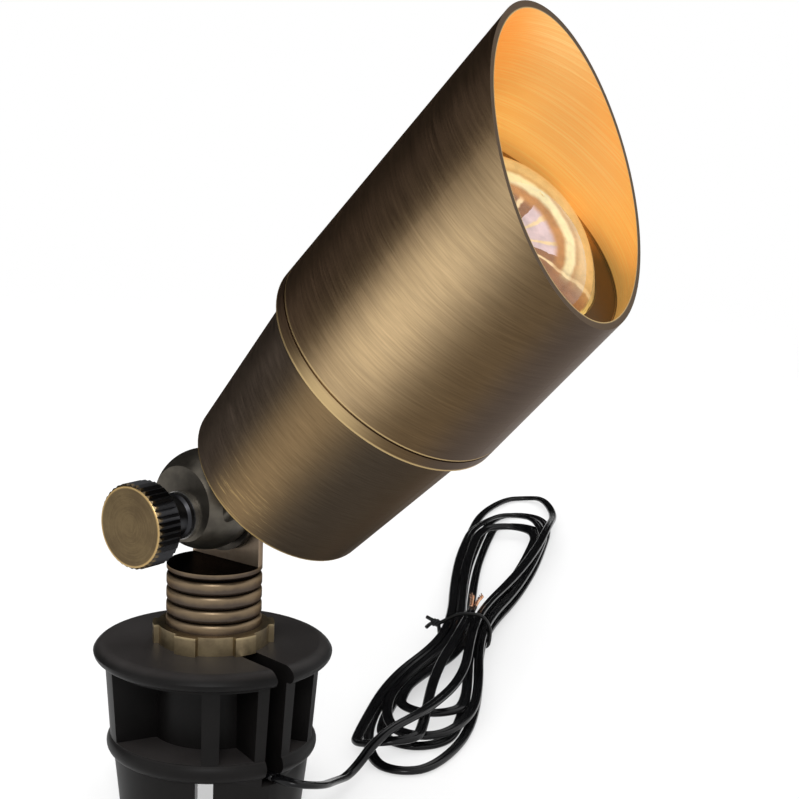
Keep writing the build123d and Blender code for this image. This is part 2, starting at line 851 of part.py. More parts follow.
def hank_tie():
    # A wire loop round the waist, with its twisted ends as a knot on the left.
    reach = cord_radius + tie_clearance + tie_dia / 2
    half, low = 2 * waist_pitch + reach, tie_dia / 2
    right, left = lead_waist + reach, tail_waist - reach
    shoulder = layer_height(1) + tie_lift + cord_radius
    top = layer_height(2) + tie_lift + reach
    corners = [(-half, low), (half, low), (half, shoulder), (right, top), (left, top), (-half, shoulder)]
    points = [hank_point(0, across, height) for across, height in corners]
    loop = FilletPolyline(*points, radius=tie_dia, close=True)
    start = Plane(origin=loop @ 0, z_dir=loop % 0)
    knot = Pos(*hank_point(0, -half - tie_knot_dia / 3, shoulder)) * Sphere(tie_knot_dia / 2)
    return sweep(start * Circle(tie_dia / 2), path=loop) + knot


nodes = {
    "ground_stake": ground_stake,
    "knuckle_stem": knuckle_stem,
    "locknut": locknut,
    "stem_grommet": stem_grommet,
    "stem_wire": stem_wire,
    "head_knuckle": head_knuckle,
    "friction_washer": friction_washer,
    "screw_washer": screw_washer,
    "thumbscrew": thumbscrew,
    "spigot_nut": spigot_nut,
    "spigot_seal": spigot_seal,
    "body_housing": body_housing,
    "body_oring": body_oring,
    "shroud": shroud,
    "lens": lens,
    "lens_gasket": lens_gasket,
    "holder_bracket": holder_bracket,
    "holder_screws": holder_screws,
    "lamp_holder": lamp_holder,
    "holder_contacts": holder_contacts,
    "lamp_pins": lamp_pins,
    "lamp_base": lamp_base,
    "lamp_heatsink": lamp_heatsink,
    "led_board": led_board,
    "lamp_bezel": lamp_bezel,
    "lamp_optic": lamp_optic,
    "socket_leads": socket_leads,
    "cable_in_stem": cable_in_stem,
    "lead": lead,
    "lead_hank": lead_hank,
    "copper_tips": copper_tips,
    "hank_tie": hank_tie,
}

os.makedirs("parts", exist_ok=True)
for name, make in nodes.items():
    export_step(make(), f"parts/{name}.step")
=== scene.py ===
import math
import bpy
from mathutils import Matrix, Vector


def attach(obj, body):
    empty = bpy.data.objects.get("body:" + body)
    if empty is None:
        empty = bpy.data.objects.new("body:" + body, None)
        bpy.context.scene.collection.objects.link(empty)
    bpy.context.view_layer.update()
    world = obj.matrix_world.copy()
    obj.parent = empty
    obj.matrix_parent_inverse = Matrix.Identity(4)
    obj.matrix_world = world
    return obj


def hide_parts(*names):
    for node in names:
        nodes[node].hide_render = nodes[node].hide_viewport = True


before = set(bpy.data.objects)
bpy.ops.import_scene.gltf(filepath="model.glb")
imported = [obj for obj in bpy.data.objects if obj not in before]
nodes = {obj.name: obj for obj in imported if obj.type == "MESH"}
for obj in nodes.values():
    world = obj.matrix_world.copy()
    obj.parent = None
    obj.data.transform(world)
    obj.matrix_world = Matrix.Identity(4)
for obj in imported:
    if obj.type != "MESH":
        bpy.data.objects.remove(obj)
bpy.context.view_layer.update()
mm = 0.001
print("frame:", len(nodes), "nodes")

cameraValues = {
    "place": (0.3094, -0.3252, 0.1875),
    "heading": 38.0,  # degrees from +Y towards -X
    "pitchDown": 10.73,
    "roll": 1.96,
    "lens": 85.6,
}


def addCamera(values):
    heading, pitch, roll = (math.radians(values[key]) for key in ("heading", "pitchDown", "roll"))
    side = Vector((math.cos(heading), math.sin(heading), 0))
    ahead = Vector((-math.sin(heading), math.cos(heading), 0))
    upward = Vector((0, 0, 1))
    forward = ahead * math.cos(pitch) - upward * math.sin(pitch)
    top = upward * math.cos(pitch) + ahead * math.sin(pitch)
    right = side * math.cos(roll) + top * math.sin(roll)
    top = top * math.cos(roll) - side * math.sin(roll)
    data = bpy.data.cameras.new("photoCamera")
    data.lens = values["lens"]
    data.clip_start = 0.01
    data.clip_end = 50
    camera = bpy.data.objects.new("photoCamera", data)
    turn = Matrix((right, top, -forward)).transposed().to_4x4()
    camera.matrix_world = Matrix.Translation(Vector(values["place"])) @ turn
    bpy.context.scene.collection.objects.link(camera)
    bpy.context.scene.camera = camera


addCamera(cameraValues)
print("camera in place")


def addMesh(name, vertices, faces, smooth=True):
    mesh = bpy.data.meshes.new(name)
    mesh.from_pydata([tuple(v) for v in vertices], [], faces)
    mesh.validate()
    if smooth:
        mesh.shade_smooth()
    piece = bpy.data.objects.new(name, mesh)
    bpy.context.scene.collection.objects.link(piece)
    return piece


# the lead leaves the stake's slot, crosses to the hank and makes all its loops, as one cord
leadValues = {
    "slotAzimuth": -10.5,
    "exitRadius": 26.0,
    "exitHeight": 14.0,
    "standOff": 6.0,
    "heldSag": 0.8,
    "heldTop": 49.0,
    "bends": ((33.0, 3.5, 11.5), (27.0, 15.0, 7.5)),
    "lowPoint": (-122.0, -13.6, 4.2),
    "climb": (-108.0, -8.5),
    "crossing": (-86.0, 1.5),
    "crossingLift": 0.3,
    "lobe": 9.4,
    "waist": 3.6,
    "width": 3.0,
    "thickness": 1.6,
    "corePoints": 11,
    "roll": 0.5,
    "rollWaves": (31.0, 11.0, 0.7),  # two wave numbers per metre, and the second's start
    "settle": 0.04,
}
hankValues = {
    "centre": (-25.2, 140.4),
    "azimuth": 119.2,
    "near": 108.0,
    "far": 172.0,
    "tailNear": 104.0,
    "looseFar": 200.0,
    "looseHalf": 15.0,
    "fold": 7.2,
    "foldRadius": 8.0,
    "foldTaper": 4.0,
    "foldStep": 18.0,
    "upperNear": 90.0,
    "upperFar": 158.0,
    "pitch": 3.4,
    "waistPitch": 3.0,
    "waistHalf": 14.0,
    "layerStep": 3.1,
    "ground": 1.2,
    "tieLift": 1.8,
    "nearLobe": (0.44, 0.9),
    "nearShift": -3.0,
    "farLobes": ((0.3, 0.55), (0.5, 0.9), (0.66, 1.0)),
    "tailFold": 3.4,
    "tailLobe": 0.0,
    "tailWaist": -0.2,
    "tailEnd": (14.0, 0.6),
}


def hankPoint(along, across, height, values=hankValues):
    angle = math.radians(values["azimuth"])
    x = values["centre"][0] + along * math.cos(angle) + across * math.sin(angle)
    y = values["centre"][1] + along * math.sin(angle) - across * math.cos(angle)
    return Vector((x, y, height)) * mm


def layerHeight(layer):
    return hankValues["ground"] + layer * hankValues["layerStep"]


def slotPoint(radius, height):
    angle = math.radians(leadValues["slotAzimuth"])
    return Vector((radius * math.cos(angle), radius * math.sin(angle), height)) * mm


def foldPoints(end, acrossIn, acrossOut, layers):
    # a half turn at an end of the hank, which the lobe draws in to from both its sides
    values = hankValues
    shift = values["nearShift"] if end < 0 else 0
    acrossIn, acrossOut = acrossIn + shift, acrossOut + shift
    middle, way, radius = (acrossIn + acrossOut) / 2, math.copysign(1, end), values["foldRadius"]
    half = math.copysign(radius, acrossIn - acrossOut)
    side = end - way * radius * (1 - math.tan(math.pi / 6))
    tip = end - way * radius * (1 - 1 / math.cos(math.pi / 6))
    taper = max(values["foldTaper"] * (abs(acrossIn - middle) - radius), radius)
    alongs = [side - way * taper, side, tip, side, side - way * taper]
    acrosses = [acrossIn, middle + half, middle, middle - half, acrossOut]
    heights = [layerHeight(layer) for layer in (layers[0], *layers, layers[2])]
    return [hankPoint(*place) for place in zip(alongs, acrosses, heights)]


def strandPoints(nearLobe, waist, farLobe, layers, far=None):
    values = hankValues
    far = far or values["far"]
    nearHeight, waistHeight, farHeight = (layerHeight(layer) for layer in layers)
    waistHeight += values["tieLift"]
    place, fullness = values["nearLobe"]
    nearAcross = waist + fullness * (nearLobe - waist) + values["nearShift"]
    points = [
        hankPoint(-place * values["near"], nearAcross, nearHeight),
        hankPoint(-values["waistHalf"], waist, waistHeight),
        hankPoint(values["waistHalf"], waist, waistHeight),
    ]
    for place, fullness in values["farLobes"]:
        points.append(hankPoint(place * far, waist + fullness * (farLobe - waist), farHeight))
    return points


def leadRoute():
    lead, hank = leadValues, hankValues
    inner, middle, outer = (hank["fold"] + turn * hank["pitch"] for turn in range(3))
    wide, near, far = hank["looseHalf"], hank["near"], hank["far"]
    waist, looseFar = hank["waistPitch"], hank["looseFar"]
    upperNear, upperFar, step = hank["upperNear"], hank["upperFar"], hank["foldStep"]
    flat, upper, top = (0, 0, 0), (1, 1, 1), (2, 2, 2)
    over = layerHeight(3) + lead["crossingLift"]
    rise = lead["heldSag"] * lead["standOff"] / (lead["exitRadius"] / 2)
    points = [slotPoint(lead["exitRadius"], lead["exitHeight"])]
    points.append(slotPoint(lead["exitRadius"] + lead["standOff"], lead["exitHeight"] + rise))
    points += [Vector(bend) * mm for bend in lead["bends"]]
    points.append(hankPoint(*lead["lowPoint"]))
    points += [hankPoint(*lead[key], over) for key in ("climb", "crossing")]
    points += strandPoints(lead["lobe"], lead["waist"], wide, top, looseFar)
    points += foldPoints(looseFar, wide, -wide, (0.5, 0, 0))
    points += reversed(strandPoints(-outer, -2 * waist, -wide, flat, looseFar))
    points += foldPoints(-near, -outer, outer, flat)
    points += strandPoints(outer, 2 * waist, outer, flat)
    points += foldPoints(far, outer, -middle, flat)
    points += reversed(strandPoints(-middle, -waist, -middle, flat))
    points += foldPoints(step - near, -middle, middle, flat)
    points += strandPoints(middle, waist, middle, flat)
    points += foldPoints(far - step, middle, -inner, flat)
    points += reversed(strandPoints(-inner, 0, -inner, (1, 0, 0)))
    points += foldPoints(step - upperNear, -inner, middle, upper)
    points += strandPoints(middle, waist, middle, upper)
    points += foldPoints(upperFar - step, middle, -middle, upper)
    points += reversed(strandPoints(-middle, -waist, -middle, upper))
    points += foldPoints(-upperNear, -middle, outer, upper)
    points += strandPoints(outer, 2 * waist, outer, upper)
    points += foldPoints(upperFar, outer, -outer, upper)
    points += reversed(strandPoints(-outer, -2 * waist, -outer, upper))
    points += foldPoints(-hank["tailNear"], -outer, hank["tailFold"], (1, 2, 2))
    points += strandPoints(hank["tailLobe"], hank["tailWaist"], inner, top)[:2]
    points.append(hankPoint(*hank["tailEnd"], layerHeight(2) + hank["tieLift"]))
    return points


def splineLine(name, points, resolution=10):
    # the smooth line of a route, read from a NURBS curve that has the route as its control points
    curve = bpy.data.curves.new(name, "CURVE")
    curve.dimensions = "3D"
    spline = curve.splines.new("NURBS")
    spline.points.add(len(points) - 1)
    for target, point in zip(spline.points, points):
        target.co = (*point, 1)
    spline.order_u = 3
    spline.use_endpoint_u = True
    spline.resolution_u = resolution
    holder = bpy.data.objects.new(name, curve)
    bpy.context.scene.collection.objects.link(holder)
    bpy.context.view_layer.update()
    mesh = bpy.data.meshes.new_from_object(holder)
    line = [v.co.copy() for v in mesh.vertices]
    bpy.data.objects.remove(holder)
    bpy.data.meshes.remove(mesh)
    return line


def twinOutline(values):
    # two round cores side by side, joined where their circles meet
    radius = values["thickness"] / 2
    offset = values["width"] / 2 - radius
    reach = math.acos(-offset / radius)
    outline = []
    for way in (1, -1):
        for step in range(values["corePoints"]):
            angle = reach * (2 * (step + 0.5) / values["corePoints"] - 1)
            x, y = offset + radius * math.cos(angle), radius * math.sin(angle)
            outline.append((way * x * mm, way * y * mm))
    return outline


def roundOutline(diameter, count):
    angles = [2 * math.pi * step / count for step in range(count)]
    return [(diameter / 2 * mm * math.cos(angle), diameter / 2 * mm * math.sin(angle)) for angle in angles]


def sweepLines(name, lines, outline, rollAt=None, upward=Vector((0, 0, 1))):
    # one mesh of tubes: the outline carried along each line, rolled about it where rollAt says
    count = len(outline)
    vertices, faces = [], []
    for line in lines:
        first, travelled = len(vertices), 0.0
        for index, point in enumerate(line):
            before, after = line[max(index - 1, 0)], line[min(index + 1, len(line) - 1)]
            travelled += (point - before).length
            tangent = (after - before).normalized()
            side = tangent.cross(upward).normalized()
            normal = side.cross(tangent)
            turn = rollAt(travelled) if rollAt else 0.0
            across = side * math.cos(turn) + normal * math.sin(turn)
            lift = normal * math.cos(turn) - side * math.sin(turn)
            vertices += [point + across * x + lift * y for x, y in outline]
            if index:
                low = len(vertices) - 2 * count
                for step in range(count):
                    other = (step + 1) % count
                    faces.append((low + step, low + other, low + count + other, low + count + step))
        faces.append(tuple(reversed(range(first, first + count))))
        faces.append(tuple(range(len(vertices) - count, len(vertices))))
    return addMesh(name, vertices, faces)


def leadRoll(travelled):
    # flat in the slot, then rolling a little as it lies
    settle = min(1, travelled / leadValues["settle"])
    first, second, start = leadValues["rollWaves"]
    return leadValues["roll"] * settle * math.sin(travelled * first) * math.cos(travelled * second + start)


leadLine = splineLine("leadLine", leadRoute())
lead = sweepLines("leadCord", [leadLine], twinOutline(leadValues), leadRoll)
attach(lead, "stake")
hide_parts("lead", "lead_hank")


def heldRoute(values):
    low = values["exitHeight"] - values["heldSag"]
    return [
        Vector((0, 0, values["heldTop"])) * mm,
        Vector((0, 0, low)) * mm,
        slotPoint(values["exitRadius"] / 2, low),
        slotPoint(values["exitRadius"], values["exitHeight"]),
    ]


slotSide = slotPoint(1, 0).cross(Vector((0, 0, 1))).normalized()
heldLine = splineLine("heldLine", heldRoute(leadValues))
held = sweepLines("heldLead", [heldLine], twinOutline(leadValues), lambda travelled: math.pi / 2, slotSide)
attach(held, "stake")
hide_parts("cable_in_stem")

copperValues = {
    "length": 9.0,
    "spacing": 1.4,
    "rise": 1.6,
    "strands": 7,
    "strandDia": 0.42,
    "lay": 0.42,  # radius of the strands' circle
    "turns": 1.3,
    "splay": 0.5,
    "parting": 0.9,  # how far the two bunches draw apart
    "stagger": 0.06,
    "steps": 16,
    "sides": 8,
}


def copperLines(values):
    # two bared conductors, each a bunch of strands twisted round a middle one and opening at the tip
    before, end = leadLine[-2], leadLine[-1]
    ahead = (end - before).normalized()
    side = ahead.cross(Vector((0, 0, 1))).normalized()
    upward = side.cross(ahead)
    lines = []
    for way in (-1, 1):
        for strand in range(values["strands"]):
            line = []
            for step in range(values["steps"]):
                t = step / (values["steps"] - 1)
                lay = 0 if strand == 0 else values["lay"] * (1 + values["splay"] * t ** 3)
                angle = 2 * math.pi * (strand / (values["strands"] - 1) + values["turns"] * t)
                apart = way * (values["spacing"] / 2 + values["parting"] * t * t)
                reach = values["length"] * t * (1 - values["stagger"] * (strand % 3))
                lift = lay * math.sin(angle) + values["rise"] * t
                place = side * (apart + lay * math.cos(angle)) + upward * lift
                line.append(end + (place + ahead * reach) * mm)
            lines.append(line)
    return lines


strandOutline = roundOutline(copperValues["strandDia"], copperValues["sides"])
copper = sweepLines("copperStrands", copperLines(copperValues), strandOutline)
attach(copper, "stake")
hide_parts("copper_tips")

tieValues = {
    "dia": 1.2,
    "clearance": 0.2,
    "twistTurns": 1.25,
    "twistRadius": 0.68,
    "twistFrom": (0.2, -0.5, 0.2),  # along, across and up from the loop's left shoulder
    "twistTo": (0.6, -2.9, 0.4),
    "twistSteps": 18,
    "twistFlatness": 0.2,
    "ends": ((1.6, -4.4, 1.5), (-0.8, -4.2, -1.2)),
    "cornerInset": 0.6,
    "bow": 0.2,
    "sides": 10,
    "resolution": 6,
    "upward": (0.31, 0.87, 0.38),  # a way that no stretch of the wire runs
}


def tieRoute(values):
    # one wire: an end, half the twist, round the waist, the other half of the twist, the other end
    hank = hankValues
    reach = hank["ground"] + values["clearance"] + values["dia"] / 2
    half, low = 2 * hank["waistPitch"] + reach, values["dia"] / 2
    right, left = leadValues["waist"] + reach, hank["tailWaist"] - reach
    shoulder = layerHeight(1) + hank["tieLift"] + hank["ground"]
    top = layerHeight(2) + hank["tieLift"] + reach
    knee = (low + shoulder) / 2
    start, stop = Vector(values["twistFrom"]), Vector(values["twistTo"])
    corner = Vector((0, -half, shoulder))

    def twist(phase):
        line = []
        for step in range(values["twistSteps"] + 1):
            t = step / values["twistSteps"]
            angle = 2 * math.pi * values["twistTurns"] * t + phase
            swing = Vector((math.cos(angle), values["twistFlatness"] * math.sin(angle), math.sin(angle)))
            line.append(corner + start.lerp(stop, t) + swing * values["twistRadius"])
        return line

    inset, bow = values["cornerInset"], values["bow"]
    loop = [(0, -half, knee), (0, -half + inset, low), (0, 0, low - bow), (0, half - inset, low)]
    loop += [(0, half, knee), (0, half, shoulder), (0, right, top)]
    loop += [(0, (left + right) / 2, top + bow), (0, left, top)]
    route = [corner + Vector(values["ends"][0])] + list(reversed(twist(0)))
    route += [Vector(point) for point in loop]
    route += twist(math.pi) + [corner + Vector(values["ends"][1])]
    return [hankPoint(*point) for point in route]


tieLine = splineLine("tieLine", tieRoute(tieValues), tieValues["resolution"])
tieOutline = roundOutline(tieValues["dia"], tieValues["sides"])
tie = sweepLines("hankTie", [tieLine], tieOutline, None, Vector(tieValues["upward"]))
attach(tie, "stake")
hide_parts("hank_tie")
print("tie and copper strands made")

leadRoute()[0]


def put(tree, kind, inputs=None, **settings):
    # a node with its settings, and values or links for its inputs
    made = tree.nodes.new(kind)
    for key, value in settings.items():
        setattr(made, key, value)
    for key, value in (inputs or {}).items():
        if isinstance(value, bpy.types.NodeSocket):
            tree.links.new(value, made.inputs[key])
        else:
            made.inputs[key].default_value = value
    return made


def maths(tree, operation, *values):
    return put(tree, "ShaderNodeMath", dict(enumerate(values)), operation=operation).outputs[0]


def ramp(tree, value, low, high):
    places = {"Value": value, "From Min": low, "From Max": high}
    return put(tree, "ShaderNodeMapRange", places, interpolation_type="SMOOTHSTEP").outputs["Result"]


def blend(tree, share, first, second, kind="MIX"):
    places = {0: share, 6: first, 7: second}
    return put(tree, "ShaderNodeMix", places, data_type="RGBA", blend_type=kind).outputs[2]


def colour(red, green, blue):
    return (red, green, blue, 1)


def makeGroup(name, inputs, outputs):
    group = bpy.data.node_groups.new(name, "ShaderNodeTree")
    for label, kind, value in inputs:
        group.interface.new_socket(label, in_out="INPUT", socket_type=kind).default_value = value
    for label, kind in outputs:
        group.interface.new_socket(label, in_out="OUTPUT", socket_type=kind)
    entry = group.nodes.new("NodeGroupInput").outputs
    leave = group.nodes.new("NodeGroupOutput").inputs
    return group, entry, leave


def axisPlacesGroup():
    # where a point is about an axis: its radius and its station along it in mm, and its way round
    group, entry, leave = makeGroup(
        "axisPlaces",
        [("Move", "NodeSocketVector", (0, 0, 0)), ("Turn", "NodeSocketVector", (0, 0, 0))],
        [("Radius", "NodeSocketFloat"), ("Station", "NodeSocketFloat"), ("Round", "NodeSocketVector")],
    )
    place = put(group, "ShaderNodeTexCoord").outputs["Object"]
    sizes = {"Vector": place, "Location": entry["Move"], "Rotation": entry["Turn"]}
    sizes["Scale"] = (1 / mm, 1 / mm, 1 / mm)
    local = put(group, "ShaderNodeMapping", sizes).outputs["Vector"]
    parts = put(group, "ShaderNodeSeparateXYZ", {"Vector": local}).outputs
    level = put(group, "ShaderNodeCombineXYZ", {"X": parts["X"], "Y": parts["Y"]}).outputs["Vector"]
    length = put(group, "ShaderNodeVectorMath", {0: level}, operation="LENGTH").outputs["Value"]
    way = put(group, "ShaderNodeVectorMath", {0: level}, operation="NORMALIZE").outputs["Vector"]
    for socket, source in (("Radius", length), ("Station", parts["Z"]), ("Round", way)):
        group.links.new(source, leave[socket])
    return group


def turningMarksGroup():
    # fine lines that a brush or a lathe leaves round an axis, and broader bands of them
    group, entry, leave = makeGroup(
        "turningMarks",
        [
            ("Round", "NodeSocketVector", (1, 0, 0)),
            ("Across", "NodeSocketFloat", 0),
            ("Length", "NodeSocketFloat", 1.2),
            ("Fineness", "NodeSocketFloat", 1.6),
        ],
        [("Lines", "NodeSocketFloat"), ("Bands", "NodeSocketFloat")],
    )
    places = {0: entry["Round"], "Scale": entry["Length"]}
    way = put(group, "ShaderNodeVectorMath", places, operation="SCALE")
    fine = maths(group, "MULTIPLY", entry["Across"], entry["Fineness"])
    for label, share, detail in (("Lines", 1.0, 5.0), ("Bands", 0.16, 2.0)):
        height = maths(group, "MULTIPLY", fine, share)
        lift = put(group, "ShaderNodeCombineXYZ", {"Z": height}).outputs["Vector"]
        place = put(group, "ShaderNodeVectorMath", {0: way.outputs["Vector"], 1: lift}, operation="ADD")
        sizes = {"Vector": place.outputs["Vector"], "Scale": 1.0, "Detail": detail, "Roughness": 0.65}
        group.links.new(put(group, "ShaderNodeTexNoise", sizes).outputs["Fac"], leave[label])
    return group


def agedMottleGroup():
    # clouds of uneven patina, and small specks
    group, entry, leave = makeGroup(
        "agedMottle",
        [("Clouds per metre", "NodeSocketFloat", 60), ("Specks per metre", "NodeSocketFloat", 900)],
        [("Clouds", "NodeSocketFloat"), ("Specks", "NodeSocketFloat")],
    )
    place = put(group, "ShaderNodeTexCoord").outputs["Object"]
    for label, scale in (("Clouds", "Clouds per metre"), ("Specks", "Specks per metre")):
        sizes = {"Vector": place, "Scale": entry[scale], "Detail": 4.0, "Roughness": 0.6}
        group.links.new(put(group, "ShaderNodeTexNoise", sizes).outputs["Fac"], leave[label])
    return group


flankLightValues = {
    "azimuth": 76.0,  # degrees from the head's underside to the middle of a flank's painted highlight
    "narrowness": 21,
    "sky": (0.08, -0.52),
    "under": (0.80, 1.0),
}


def flankLightGroup(values):
    # a painted highlight along both flanks, and how far a side faces the sky or the ground, for tones
    # painted on those sides
    group, entry, leave = makeGroup(
        "flankLight",
        [("Round", "NodeSocketVector", (1, 0, 0)), ("Narrowness", "NodeSocketFloat", values["narrowness"])],
        [("Painted highlight", "NodeSocketFloat"), ("Sky", "NodeSocketFloat"), ("Under", "NodeSocketFloat")],
    )
    way = put(group, "ShaderNodeSeparateXYZ", {"Vector": entry["Round"]}).outputs
    azimuth = math.radians(values["azimuth"])
    flank = maths(group, "MULTIPLY", maths(group, "ABSOLUTE", way["Y"]), math.sin(azimuth))
    facing = maths(group, "MULTIPLY_ADD", way["X"], math.cos(azimuth), flank)
    paintedHighlight = maths(group, "POWER", maths(group, "MAXIMUM", facing, 0.0), entry["Narrowness"])
    for label, source in (
        ("Painted highlight", paintedHighlight),
        ("Sky", ramp(group, way["X"], *values["sky"])),
        ("Under", ramp(group, way["X"], *values["under"])),
    ):
        group.links.new(source, leave[label])
    return group


axisPlaces = axisPlacesGroup()
turningMarks = turningMarksGroup()
agedMottle = agedMottleGroup()
flankLight = flankLightGroup(flankLightValues)
print("node groups made")


def placeGroup(tree, group, **inputs):
    places = {key.replace("_", " "): value for key, value in inputs.items()}
    return put(tree, "ShaderNodeGroup", places, node_tree=group).outputs


def brushed(tree, axis, across, brush):
    # turning marks with a brush's length and fineness
    length, fineness = brush
    places = {"Round": axis["Round"], "Across": axis[across], "Length": length, "Fineness": fineness}
    return placeGroup(tree, turningMarks, **places)


def startMaterial(name, metallic=0.0, roughness=0.4, **sockets):
    material = bpy.data.materials.new(name)
    material.use_nodes = True
    shader = material.node_tree.nodes["Principled BSDF"]
    shader.inputs["Metallic"].default_value = metallic
    shader.inputs["Roughness"].default_value = roughness
    for key, value in sockets.items():
        shader.inputs[key.replace("_", " ")].default_value = value
    return material, material.node_tree, shader.inputs


def bump(tree, height, strength, distance):
    sizes = {"Height": height, "Strength": strength, "Distance": distance}
    return put(tree, "ShaderNodeBump", sizes).outputs["Normal"]


def scaled(tree, mask, *factors):
    # a mask times other masks or numbers
    for factor in factors:
        mask = maths(tree, "MULTIPLY", mask, factor)
    return mask


def surface(tree, shader, tone, sheen, roughness, height, grain):
    # tone, roughness as a span and a start along the sheen's pattern, and a grain as strength and depth
    tree.links.new(tone, shader["Base Color"])
    tree.links.new(maths(tree, "MULTIPLY_ADD", sheen, *roughness), shader["Roughness"])
    tree.links.new(bump(tree, height, *grain), shader["Normal"])


def uprightness(tree):
    normal = put(tree, "ShaderNodeTexCoord").outputs["Normal"]
    return put(tree, "ShaderNodeSeparateXYZ", {"Vector": normal}).outputs["Z"]


headValues = {
    "pivot": (0, 0, 75.0),
    "tilt": 44.0,
    "axisOffset": 8.3,
    "baseReach": 22.4,
    "baseRadius": 23.4,
    "ring": 44.7,
    "bandTop": 47.7,
    "bandGroove": 0.5,
    "seat": 88.0,
    "shroudRadius": 30.0,
    "bore": 28.6,
    "cutAngle": 29.3,
    "cutTurn": 17.5,
}


def headAxis(tree):
    values = headValues
    turn = Matrix.Rotation(math.radians(-values["tilt"]), 3, "Y")
    move = -(turn @ Vector(values["pivot"])) - Vector((values["axisOffset"], 0, values["baseReach"]))
    return placeGroup(tree, axisPlaces, Move=move, Turn=(0, math.radians(-values["tilt"]), 0))


def mouthFacing(tree):
    # how squarely a face looks out of the hood's slanted mouth
    values = headValues
    slope, turn = math.tan(math.radians(values["cutAngle"])), math.radians(values["cutTurn"])
    out = Vector((slope * math.cos(turn), slope * math.sin(turn), 1)).normalized()
    out = Matrix.Rotation(math.radians(values["tilt"]), 3, "Y") @ out
    normal = put(tree, "ShaderNodeTexCoord").outputs["Normal"]
    return put(tree, "ShaderNodeVectorMath", {0: normal, 1: out}, operation="DOT_PRODUCT").outputs["Value"]


def line(tree, value, centre, half):
    # a soft line one unit strong where the value is at its centre
    away = maths(tree, "ABSOLUTE", maths(tree, "SUBTRACT", value, centre))
    return ramp(tree, away, half, half * 0.3)


bronzeValues = {
    "dark": colour(0.146, 0.093, 0.058),
    "mid": colour(0.118, 0.077, 0.040),
    "under": colour(0.076, 0.057, 0.046),
    "golden": colour(0.600, 0.436, 0.248),
    "highlightMiddle": 76.0,
    "highlightReach": 36.0,
    "highlightSpan": (0.4, 0.6),
    "patchSpan": (0.3, 0.85),
    "brush": (2.6, 2.6),
    "streak": (colour(0.56, 0.53, 0.50), colour(1.44, 1.45, 1.44)),
    "bands": (colour(0.84, 0.84, 0.84), colour(1.14, 1.13, 1.10)),
    "edge": colour(0.660, 0.480, 0.230),
    "edgeShare": 0.75,
    "bandHalf": 2.2,
    "bandShare": 0.6,
    "grooveShare": 0.6,
    "boreBrush": (0.9, 3.4),
    "inner": colour(0.860, 0.520, 0.190),
    "innerLight": colour(0.960, 0.660, 0.290),
    "glow": colour(1.000, 0.430, 0.080),
    "glowDeep": colour(1.000, 0.600, 0.150),
    "glowStations": (118.0, 92.0),
    "glowStrength": 0.27,
    "seatDimming": -0.85,
    "seat": colour(0.046, 0.029, 0.021),
    "seatLit": colour(0.420, 0.210, 0.060),
    "rim": colour(0.105, 0.076, 0.052),
    "grazing": colour(0.80, 0.73, 0.68),
    "roughness": (0.22, 0.27),
    "grain": (0.25, 0.00012),
}


